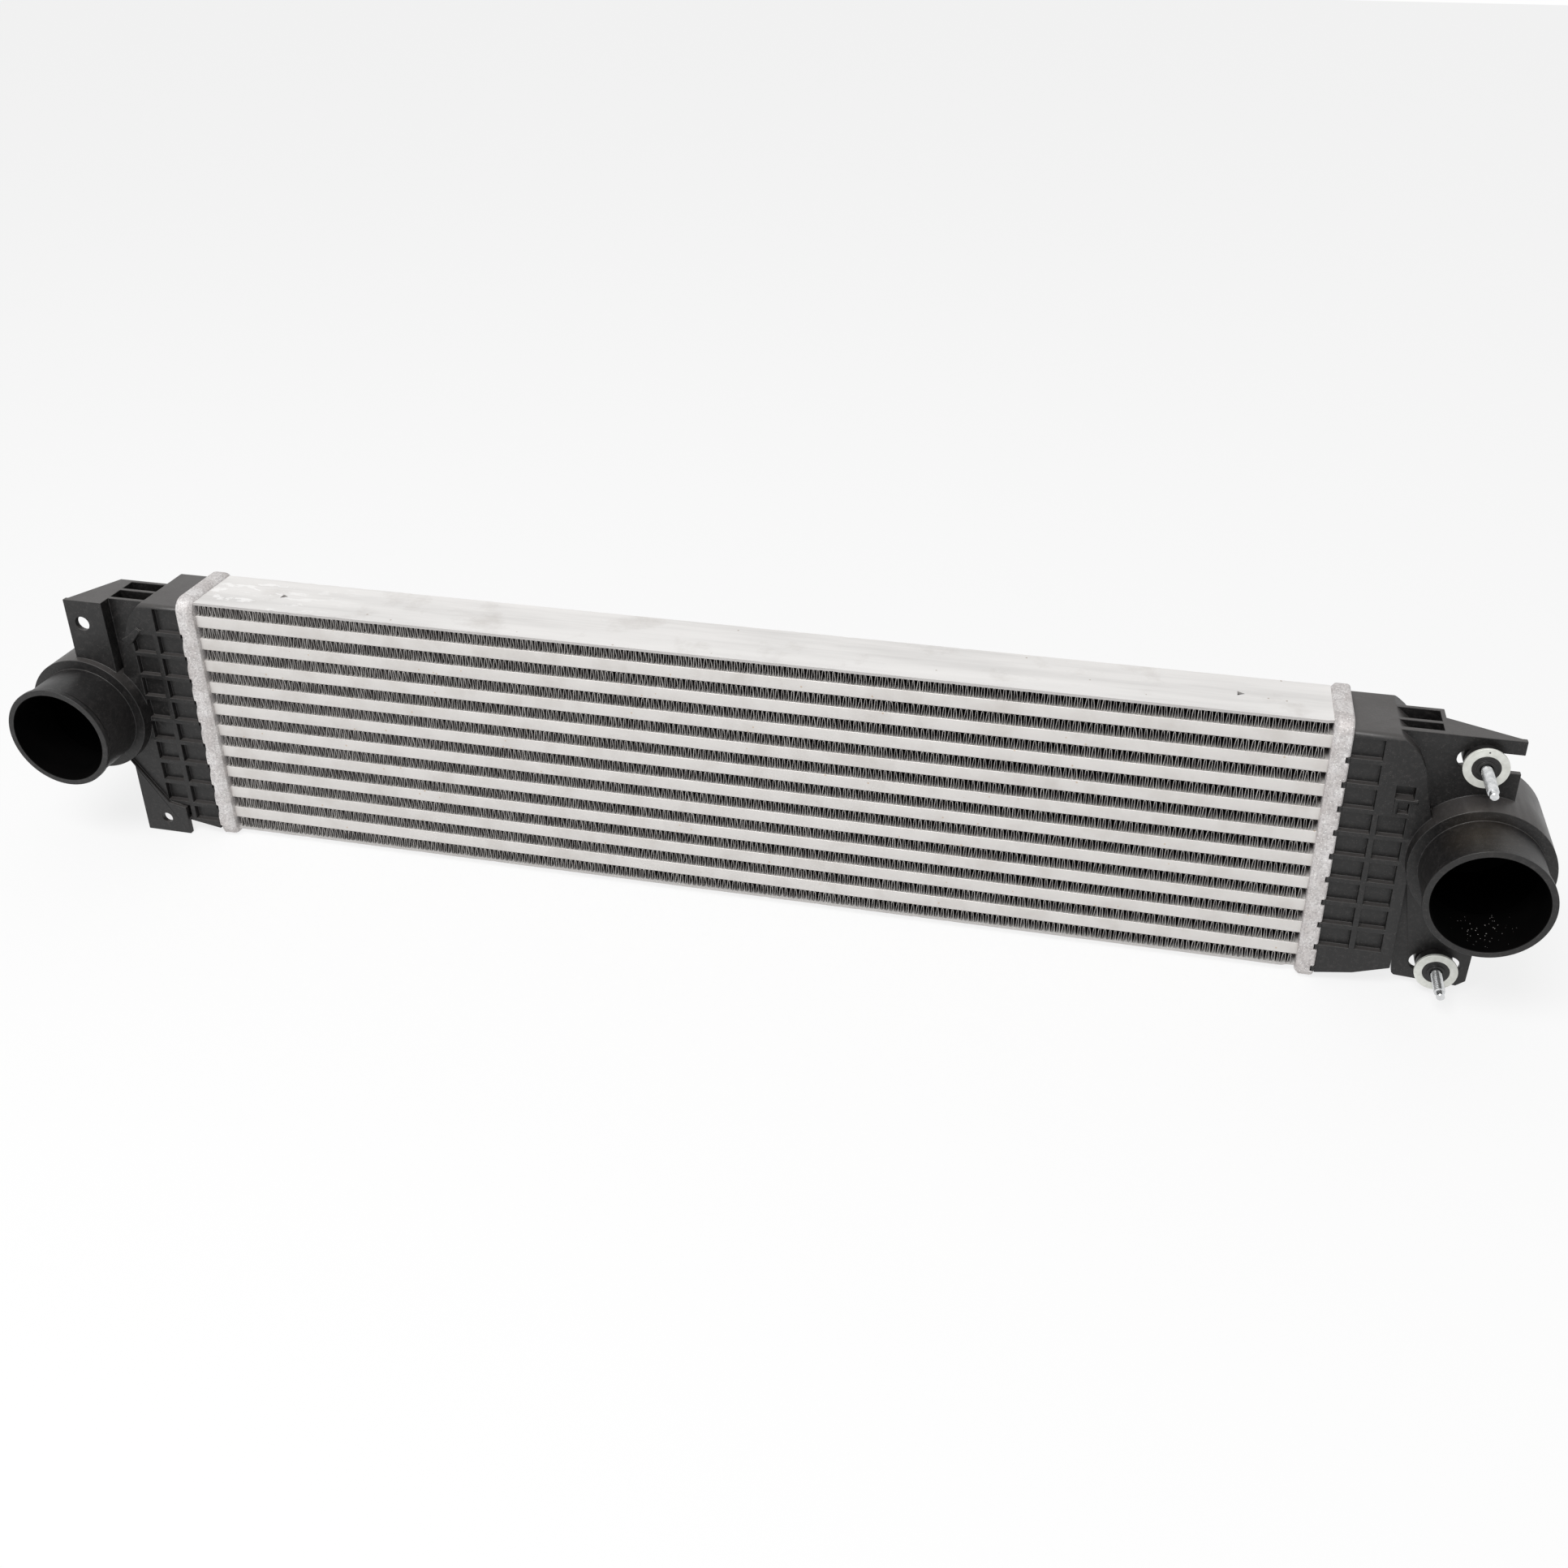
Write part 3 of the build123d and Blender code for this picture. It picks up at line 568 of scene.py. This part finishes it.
def fold_mesh(pitch, height, depth, sheet, crest):
    """One fold about the origin: two legs, an upper crest and two halves of a lower one."""
    top = (height - sheet) / 2
    flat = crest / 2
    half = [(-pitch / 2, -top), (-pitch / 2 + flat, -top),
            (-pitch / 2 + flat + BEND, 1.3 * BEND - top), (-flat - BEND, top - 1.3 * BEND),
            (-flat, top)]
    line = [Vector(p) for p in half + [(-x, z) for x, z in reversed(half)]]
    sides = ([], [])
    for i, point in enumerate(line):
        into = (point - line[i - 1]).normalized() if i else Vector((1, 0))
        onward = (line[i + 1] - point).normalized() if i < len(line) - 1 else Vector((1, 0))
        run = (into + onward).normalized()
        across = Vector((-run.y, run.x)) * sheet / 2 / max(run.dot(onward), 0.5)
        sides[0].append(point + across)
        sides[1].append(point - across)
    corners = [(p.x, y, p.y) for y in (-depth / 2, depth / 2) for side in sides for p in side]
    count = len(line)
    faces = []
    for i in range(count - 1):
        up, low, back_up, back_low = i, count + i, 2 * count + i, 3 * count + i
        faces += [(low, low + 1, up + 1, up), (back_up, back_up + 1, back_low + 1, back_low),
                  (up, up + 1, back_up + 1, back_up), (low, back_low, back_low + 1, low + 1)]
    mesh = bpy.data.meshes.new("fold")
    mesh.from_pydata(corners, [], faces)
    return mesh


def fin_tree(fold):
    """A geometry tree that lays folds side by side along X and leans each a little."""
    tree = bpy.data.node_groups.new("Fin strip", "GeometryNodeTree")
    tree.interface.new_socket("Geometry", in_out="OUTPUT", socket_type="NodeSocketGeometry")
    for name, kind in (("Folds", "Int"), ("Pitch", "Float"), ("Start", "Vector"),
                       ("Jitter", "Float"), ("Seed", "Int"), ("Material", "Material")):
        tree.interface.new_socket(name, in_out="INPUT", socket_type="NodeSocket" + kind)
    given = add_node(tree, "NodeGroupInput").node.outputs
    step = add_node(tree, "ShaderNodeCombineXYZ", {"X": given["Pitch"]})
    line = add_node(tree, "GeometryNodeMeshLine", {
        "Count": given["Folds"], "Start Location": given["Start"], "Offset": step},
        mode="OFFSET")
    source = add_node(tree, "GeometryNodeObjectInfo", {"Object": fold}, "Geometry")
    placed = add_node(tree, "GeometryNodeInstanceOnPoints", {"Points": line, "Instance": source})
    real = add_node(tree, "GeometryNodeRealizeInstances", {"Geometry": placed})
    spot = add_node(tree, "GeometryNodeInputPosition")
    wave = add_node(tree, "ShaderNodeTexNoise", {
        "Vector": spot, "W": given["Seed"], "Scale": LEAN_SCALE, "Detail": 1.0},
        noise_dimensions="4D")
    lean = add_node(tree, "ShaderNodeMath", {0: wave, 1: 0.5}, operation="SUBTRACT")
    lean = add_node(tree, "ShaderNodeMath", {0: lean, 1: given["Jitter"]}, operation="MULTIPLY")
    shift = add_node(tree, "ShaderNodeCombineXYZ", {"X": lean})
    moved = add_node(tree, "GeometryNodeSetPosition", {"Geometry": real, "Offset": shift})
    painted = add_node(tree, "GeometryNodeSetMaterial", {
        "Geometry": moved, "Material": given["Material"]})
    add_node(tree, "NodeGroupOutput", {"Geometry": painted})
    return tree


def strip_mesh(context, tree, inputs):
    """The mesh that the tree makes from its named inputs, with the folds joined."""
    holder = bpy.data.objects.new("holder", bpy.data.meshes.new("holder"))
    context.scene.collection.objects.link(holder)
    modifier = holder.modifiers.new("Fin strip", "NODES")
    modifier.node_group = tree
    for item in tree.interface.items_tree:
        if item.in_out == "INPUT":
            modifier[item.identifier] = inputs[item.name]
    context.view_layer.update()
    ready = holder.evaluated_get(context.evaluated_depsgraph_get())
    strip = bpy.data.meshes.new_from_object(ready)
    bpy.data.objects.remove(holder)
    mesh = bmesh.new()
    mesh.from_mesh(strip)
    bmesh.ops.remove_doubles(mesh, verts=mesh.verts, dist=WELD)
    bmesh.ops.holes_fill(mesh, edges=mesh.edges, sides=4)
    return mesh


class INTERCOOLER_OT_fins(bpy.types.Operator):
    """Lays the corrugated fin strips between the tubes"""
    bl_idname = "intercooler.fins"
    bl_label = "Fin strips"

    def execute(self, context):
        sizes = context.scene.intercooler_core
        low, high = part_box(FIN_ROWS[0])
        folds = int((high.x - low.x) / sizes.fold_pitch)
        pitch = (high.x - low.x - sizes.jitter / 2) / folds
        depth = high.y - low.y - 2 * sizes.fin_recess
        fold = bpy.data.objects.new(
            "fold", fold_mesh(pitch, high.z - low.z, depth, sizes.fin_sheet, sizes.crest))
        tree = fin_tree(fold)
        metal = fin_aluminium(context.scene.intercooler_colours, low.y, high.y)
        for row, node in enumerate(FIN_ROWS):
            low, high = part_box(node)
            middle = (low + high) / 2
            start = (low.x + sizes.jitter / 4 + pitch / 2, middle.y, middle.z)
            mesh = strip_mesh(context, tree, {
                "Folds": folds, "Pitch": pitch, "Start": start, "Jitter": sizes.jitter,
                "Seed": sizes.seed + row, "Material": metal})
            settle(finished("fin_strip_%02d" % (row + 1), mesh), node, metal)
        return {"FINISHED"}


# Tubes, side plates and headers

def rounded_ring(half_y, half_z, upper, lower):
    """The points of a rounded rectangle in Y and Z, three steps to a corner."""
    points = []
    corners = ((1, 1, upper), (-1, 1, upper), (-1, -1, lower), (1, -1, lower))
    for turn, (sign_y, sign_z, corner) in enumerate(corners):
        for step in range(4):
            angle = math.radians(90 * turn + 30 * step)
            points.append((sign_y * (half_y - corner) + corner * math.cos(angle),
                           sign_z * (half_z - corner) + corner * math.sin(angle)))
    return points


def join_rings(mesh, rings):
    """Adds the faces between each ring of points and the next."""
    for a, b in zip(rings, rings[1:]):
        for i in range(len(a)):
            mesh.faces.new((a[i - 1], a[i], b[i], b[i - 1]))


def tube_mesh(low, high, sizes):
    """A flat tube between a node's corners, open at both ends."""
    middle = (low + high) / 2
    half = (high - low) / 2
    wall = sizes.tube_wall
    outer = rounded_ring(half.y, half.z, sizes.tube_upper, sizes.tube_lower)
    inner = rounded_ring(half.y - wall, half.z - wall, sizes.tube_upper, sizes.tube_upper)
    mesh = bmesh.new()
    rings = []
    for x, ring in ((low.x, outer), (high.x, outer), (high.x, inner), (low.x, inner)):
        rings.append([mesh.verts.new((x, middle.y + y, middle.z + z)) for y, z in ring])
    join_rings(mesh, rings + rings[:1])
    return mesh


def worn_plate(node, wear, seed):
    """A side plate with a wavy, nicked front and back edge and a ragged right end."""
    mesh = node_mesh(node)
    low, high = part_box(node)
    for i in range(1, int((high.x - low.x) / PLATE_STEP)):
        everything = mesh.verts[:] + mesh.edges[:] + mesh.faces[:]
        bmesh.ops.bisect_plane(mesh, geom=everything, plane_co=(low.x + i * PLATE_STEP, 0, 0),
                               plane_no=(1, 0, 0), dist=0.05 * MM)
    # The wave is about 17 mm long, the nicks 3 mm and the teeth of the ragged end 2 mm.
    for vert in mesh.verts:
        x, y = vert.co.x, vert.co.y
        wave = noise.noise((x * 60, seed, 0.0)) * 0.5 + 0.5
        nick = max(0.0, noise.noise((x * 330, seed + 5.0, 0.0)) - 0.25)
        depth = wear * (0.35 * wave + 1.2 * nick)
        if y < low.y + EDGE_REACH:
            vert.co.y += depth
        elif y > high.y - EDGE_REACH:
            vert.co.y -= depth
        if x > high.x - RAGGED_END and y < low.y + EDGE_REACH:
            vert.co.y += 1.4 * MM * (0.6 + noise.noise((x * 500, seed, 2.0)))
    return mesh


class INTERCOOLER_OT_core(bpy.types.Operator):
    """Makes the tubes, side plates and headers, and finishes the turbulators"""
    bl_idname = "intercooler.core"
    bl_label = "Core metals"

    def execute(self, context):
        sizes = context.scene.intercooler_core
        colours = context.scene.intercooler_colours
        tube = brazed_tube_aluminium(colours)
        for node in TUBES:
            low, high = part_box(node)
            piece = finished("brazed_" + node, tube_mesh(low, high, sizes), 35)
            settle(piece, node, tube)
        low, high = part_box(TURBULATORS[0])
        # The turbulators take the same painted shade between their folds.
        inner = fin_aluminium(colours, low.y, high.y)
        for node in TURBULATORS:
            dress(node, inner)
        plate = plate_aluminium(colours)
        for seed, node in enumerate(("top_side_plate", "bottom_side_plate")):
            piece = finished("worn_" + node, worn_plate(node, sizes.plate_wear, seed))
            settle(piece, node, plate)
        header = header_aluminium(colours)
        for node in ("left_header", "right_header"):
            piece = softened("crimped_" + node, node, sizes.header_round)
            settle(piece, node, header)
        return {"FINISHED"}


# Tanks

def in_port(point, port):
    """Whether a point lies on the wall of a port's bore or of the pot behind it."""
    x, y, z = port
    reach = BORE_REACH if point.y < y + BORE_END else POT_REACH
    return math.hypot(point.x - x, point.z - z) < reach and point.y < y + POT_END


class INTERCOOLER_OT_tanks(bpy.types.Operator):
    """Rounds the edges of the moulded tanks and finishes their bores and gaskets"""
    bl_idname = "intercooler.tanks"
    bl_label = "Tanks"

    def execute(self, context):
        sizes = context.scene.intercooler_tank
        colours = context.scene.intercooler_colours
        for side in ("left", "right"):
            port = PLACES[side + "_port"]["pos_m"]
            right = side == "right"
            outside = tank_nylon(colours, "Glass filled nylon " + side, port, right)
            # The walls of the bore and pot get nylon painted near black, for the shade deep
            # inside the port.
            inside = painted_shade_bore("Bore in painted shade " + side, port, right)
            piece = softened("moulded_" + side + "_tank", side + "_tank", sizes.tank_round)
            settle(piece, side + "_tank", outside)
            piece.data.materials.append(inside)
            points = piece.data.vertices
            for face in piece.data.polygons:
                if all(in_port(points[i].co, port) for i in face.vertices):
                    face.material_index = 1
        rubber = moulded_rubber(colours, "Gasket rubber", 0.75)
        for node in ("left_gasket", "right_gasket"):
            dress(node, rubber)
        return {"FINISHED"}


# Mounts

def add_rings(mesh, x, z, rings):
    """Joins rings of points along Y into a closed skin, and caps both ends."""
    loops = []
    for y, radii in rings:
        loop = []
        for i, radius in enumerate(radii):
            angle = 2 * math.pi * i / len(radii)
            loop.append(mesh.verts.new((x + radius * math.cos(angle), y,
                                        z + radius * math.sin(angle))))
        loops.append(loop)
    join_rings(mesh, loops)
    mesh.faces.new(loops[0])
    mesh.faces.new(loops[-1])


def stud_tip(row, sizes):
    """The Y of a stud's front end."""
    return row["pos_m"][1] - row["dims"]["length_mm"] * MM / 2 - sizes.tip_length


def add_stud(mesh, row, seat, sizes):
    """A hexagon bolt with a thread and a dog point, whose head's seat is at Y = seat."""
    x, middle, z = row["pos_m"]
    radius = row["dims"]["r_mm"] * MM
    thread = row["dims"]["length_mm"] * MM
    start = middle - thread / 2
    tip = stud_tip(row, sizes)
    chamfer = 0.4 * MM
    fade = 0.8 * MM  # length over which the thread fades at both ends
    rings = [(tip, [sizes.tip_radius - chamfer] * STUD_SIDES),
             (tip + chamfer, [sizes.tip_radius] * STUD_SIDES),
             (start, [sizes.tip_radius] * STUD_SIDES)]
    count = int(thread / (sizes.thread_pitch / 5))
    for i in range(1, count):
        at = i * thread / count
        edge = min(at, thread - at, fade) / fade
        radii = []
        for side in range(STUD_SIDES):
            phase = (at / sizes.thread_pitch + side / STUD_SIDES) % 1
            radii.append(radius - sizes.thread_depth * (1 - edge * abs(2 * phase - 1)))
        rings.append((start + at, radii))
    rings += [(start + thread, [sizes.shank_radius] * STUD_SIDES),
              (seat, [sizes.shank_radius] * STUD_SIDES)]
    add_rings(mesh, x, z, rings)
    corner = sizes.head_width / 2 / math.cos(math.pi / 6)
    bevel = 0.5 * MM
    back = seat + sizes.head_height
    add_rings(mesh, x, z, [(seat, [corner - bevel] * 6), (seat + bevel / 2, [corner] * 6),
                           (back - bevel, [corner] * 6), (back, [corner - 1.5 * bevel] * 6)])


class INTERCOOLER_OT_mounts(bpy.types.Operator):
    """Makes the threaded studs and finishes the bushes and washers"""
    bl_idname = "intercooler.mounts"
    bl_label = "Mounts"

    def execute(self, context):
        sizes = context.scene.intercooler_mount
        colours = context.scene.intercooler_colours
        mesh = bmesh.new()
        low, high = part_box("mounting_studs")
        lower, upper = PLACES["lower_stud"], PLACES["upper_stud"]
        seat = high.y - sizes.head_height
        add_stud(mesh, lower, seat, sizes)
        add_stud(mesh, upper, seat + (low.y - stud_tip(lower, sizes)), sizes)
        studs = finished("threaded_studs", mesh, 40)
        settle(studs, "mounting_studs", bright_zinc(colours))
        rubber = moulded_rubber(colours, "Bush rubber", 0.42)
        bushes = softened("moulded_bushes", "mount_grommets", sizes.bush_round)
        settle(bushes, "mount_grommets", rubber)
        x, _, z = upper["pos_m"]
        dull = zinc_washer(colours, x, z + 9.2 * MM)
        washers = softened("pressed_washers", "mount_washers", sizes.washer_round)
        settle(washers, "mount_washers", dull)
        return {"FINISHED"}


# Stage

def area_light(name, at, aim, size, power):
    light = bpy.data.lights.new(name, "AREA")
    light.shape = "RECTANGLE"
    light.size, light.size_y = size
    light.energy = power
    lamp = bpy.data.objects.new(name, light)
    lamp.location = at
    lamp.rotation_euler = (Vector(aim) - Vector(at)).to_track_quat("-Z", "Y").to_euler()
    bpy.context.scene.collection.objects.link(lamp)


def seen_directly(tree):
    """1 for rays from the camera and for those mirrored or let through by a piece."""
    path = add_node(tree, "ShaderNodeLightPath").node.outputs
    either = add_node(tree, "ShaderNodeMath", {
        0: path["Is Camera Ray"], 1: path["Is Glossy Ray"]}, operation="MAXIMUM")
    return add_node(tree, "ShaderNodeMath", {
        0: either, 1: path["Is Transmission Ray"]}, operation="MAXIMUM")


def floor_material(colours):
    """A pale studio floor: white to the camera, with the object's shadow left faintly on it."""
    material, tree, _ = new_material("Studio floor")
    paint = add_node(tree, "ShaderNodeBsdfDiffuse", {"Color": colours.floor})
    glow = add_node(tree, "ShaderNodeEmission", {"Color": (1, 1, 1, 1), "Strength": 1.0})
    part = add_node(tree, "ShaderNodeMath", {0: seen_directly(tree), 1: 0.8},
                    operation="MULTIPLY")
    mix = add_node(tree, "ShaderNodeMixShader", {0: part, 1: paint, 2: glow})
    add_node(tree, "ShaderNodeOutputMaterial", {"Surface": mix})
    return material


def studio_world(sky):
    """White to the camera. Soft light for the pieces, which is dim towards both ends of X."""
    world = bpy.data.worlds.new("Studio")
    world.use_nodes = True
    tree = world.node_tree
    tree.nodes.clear()
    way = add_node(tree, "ShaderNodeTexCoord", out="Generated")
    side = add_node(tree, "ShaderNodeSeparateXYZ", {0: way}, "X")
    side = add_node(tree, "ShaderNodeMath", {0: side}, operation="ABSOLUTE")
    dim = add_node(tree, "ShaderNodeMapRange", {0: side, 1: 0.35, 2: 0.85, 3: sky, 4: sky * 0.08})
    soft = add_node(tree, "ShaderNodeBackground", {"Color": (1, 1, 1, 1), "Strength": dim})
    white = add_node(tree, "ShaderNodeBackground", {"Color": (1, 1, 1, 1), "Strength": 1.0})
    mix = add_node(tree, "ShaderNodeMixShader", {0: seen_directly(tree), 1: soft, 2: white})
    add_node(tree, "ShaderNodeOutputWorld", {"Surface": mix})
    return world


def photo_camera():
    """The camera, placed and turned as the one that took the photograph."""
    lens = bpy.data.cameras.new("Camera")
    lens.sensor_width = 36.0
    lens.lens = 36.02
    lens.shift_x = -0.04426
    lens.shift_y = -0.09372
    lens.clip_end = 50.0
    camera = bpy.data.objects.new("Camera", lens)
    right = Vector((0.9787061, 0.20520705, 0.00494386))
    down = Vector((0.09741009, -0.44311389, -0.89115731))
    forward = Vector((-0.18068107, 0.87266267, -0.45366751))
    turn = Matrix((right, -down, -forward)).transposed().to_4x4()
    camera.matrix_world = Matrix.Translation((0.2129, -0.70475, 0.5416)) @ turn
    bpy.context.scene.collection.objects.link(camera)
    bpy.context.scene.camera = camera


class INTERCOOLER_OT_stage(bpy.types.Operator):
    """Sets the floor, the lights and the camera"""
    bl_idname = "intercooler.stage"
    bl_label = "Stage"

    def execute(self, context):
        sizes = context.scene.intercooler_stage
        half = sizes.floor_size / 2
        mesh = bpy.data.meshes.new("floor")
        mesh.from_pydata([(-half, -half, 0), (half, -half, 0), (half, half, 0),
                          (-half, half, 0)], [], [(0, 1, 2, 3)])
        mesh.materials.append(floor_material(context.scene.intercooler_colours))
        floor = bpy.data.objects.new("floor", mesh)
        floor.location.z = -0.5 * MM
        context.scene.collection.objects.link(floor)
        context.scene.world = studio_world(sizes.sky)
        area_light("Key", (-0.25, -1.15, 1.75), (0, 0, 0.1), (1.1, 0.7), sizes.key_power)
        photo_camera()
        context.scene.view_settings.view_transform = "Standard"
        return {"FINISHED"}


GROUPS = {"intercooler_core": CoreSizes, "intercooler_tank": TankSizes,
          "intercooler_mount": MountSizes, "intercooler_stage": StageSizes,
          "intercooler_colours": Colours}
STEPS = (INTERCOOLER_OT_fins, INTERCOOLER_OT_core, INTERCOOLER_OT_tanks,
         INTERCOOLER_OT_mounts, INTERCOOLER_OT_stage)


class INTERCOOLER_PT_panel(bpy.types.Panel):
    """Lists the sizes, the colours and the steps that dress the intercooler"""
    bl_idname = "INTERCOOLER_PT_panel"
    bl_label = "Intercooler"
    bl_space_type = "VIEW_3D"
    bl_region_type = "UI"
    bl_category = "Intercooler"

    def draw(self, context):
        column = self.layout.column()
        for name, group in GROUPS.items():
            for item in group.__annotations__:
                column.prop(getattr(context.scene, name), item)
        for step in STEPS:
            column.operator(step.bl_idname)


CLASSES = tuple(GROUPS.values()) + STEPS + (INTERCOOLER_PT_panel,)


def register():
    for item in CLASSES:
        bpy.utils.register_class(item)
    for name, group in GROUPS.items():
        setattr(bpy.types.Scene, name, bpy.props.PointerProperty(type=group))


def unregister():
    for name in GROUPS:
        delattr(bpy.types.Scene, name)
    for item in reversed(CLASSES):
        bpy.utils.unregister_class(item)


def main():
    register()
    bpy.ops.intercooler.fins()
    bpy.ops.intercooler.core()
    bpy.ops.intercooler.tanks()
    bpy.ops.intercooler.mounts()
    bpy.ops.intercooler.stage()


if __name__ == "__main__":
    main()
